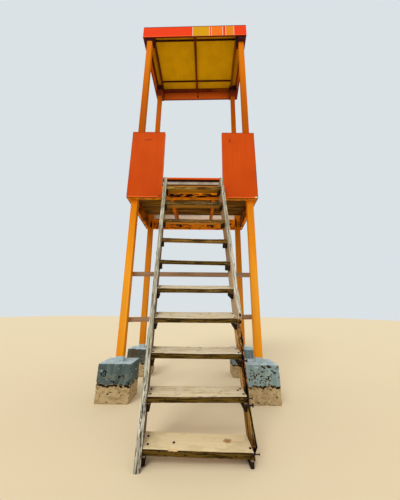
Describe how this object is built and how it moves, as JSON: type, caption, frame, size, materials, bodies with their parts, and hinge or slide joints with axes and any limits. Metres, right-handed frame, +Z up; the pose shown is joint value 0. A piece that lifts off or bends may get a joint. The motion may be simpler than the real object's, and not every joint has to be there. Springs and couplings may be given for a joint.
{
  "type": "lifeguard tower",
  "caption": "Tall open timber watch tower: square posts on concrete footings, boarded deck inside a sheet guard, flat roof with deep fascias, and a leaning plank ladder.",
  "frame": {"origin": "on the ground, in the middle of the tower's overall footprint", "axes": "+Z up, +X to the right seen from the ladder side, +Y from the ladder towards the rear"},
  "size_m": [2.062, 2.5278, 6.037],
  "materials": {
    "concrete": "weathered grey-blue paint over rough concrete",
    "post_paint": "weathered orange paint",
    "beam_paint": "weathered orange paint",
    "front_beam_paint": "peeling orange paint",
    "joist_paint": "weathered orange paint",
    "deck_timber": "bare weathered timber",
    "panel_paint": "weathered red-orange paint outside, white inside",
    "rail_paint": "weathered red-orange paint",
    "fascia_paint": "red-orange paint",
    "roof_sheet_paint": "ochre paint",
    "roof_timber": "dark red-brown stained timber",
    "post_head_timber": "dark weathered timber",
    "ladder_timber": "bare grey weathered timber",
    "tread_timber": "bare worn timber",
    "cleat_timber": "bare dark timber",
    "brace_timber": "bare weathered timber"
  },
  "bodies": {
    "root": {"footing_front_left": "concrete", "footing_front_right": "concrete", "footing_rear_left": "concrete", "footing_rear_right": "concrete", "post_front_left": "post_paint", "post_front_right": "post_paint", "post_rear_left": "post_paint", "post_rear_right": "post_paint", "front_beam": "front_beam_paint", "rear_beam": "beam_paint", "side_beam_left": "beam_paint", "side_beam_right": "beam_paint", "joist_left": "joist_paint", "joist_right": "joist_paint", "deck_boards": "deck_timber", "front_panel_left": "panel_paint", "front_panel_right": "panel_paint", "side_panel_left": "panel_paint", "side_panel_right": "panel_paint", "rear_panel": "panel_paint", "top_rail_front_left": "rail_paint", "top_rail_front_right": "rail_paint", "top_rail_left": "rail_paint", "top_rail_right": "rail_paint", "top_rail_rear": "rail_paint", "door_stud_left": "rail_paint", "door_stud_right": "rail_paint", "fascia_front": "fascia_paint", "fascia_rear": "fascia_paint", "fascia_left": "fascia_paint", "fascia_right": "fascia_paint", "roof_sheet": "roof_sheet_paint", "roof_ledgers": "roof_timber", "roof_battens": "roof_timber", "cross_battens": "roof_timber", "post_head_front_left": "post_head_timber", "post_head_front_right": "post_head_timber", "post_head_rear_left": "post_head_timber", "post_head_rear_right": "post_head_timber", "ladder_rail_left": "ladder_timber", "ladder_rail_right": "ladder_timber", "ladder_treads": "tread_timber", "tread_cleats": "cleat_timber", "brace_upper": "brace_timber", "brace_lower": "brace_timber"}
  },
  "joints": []
}
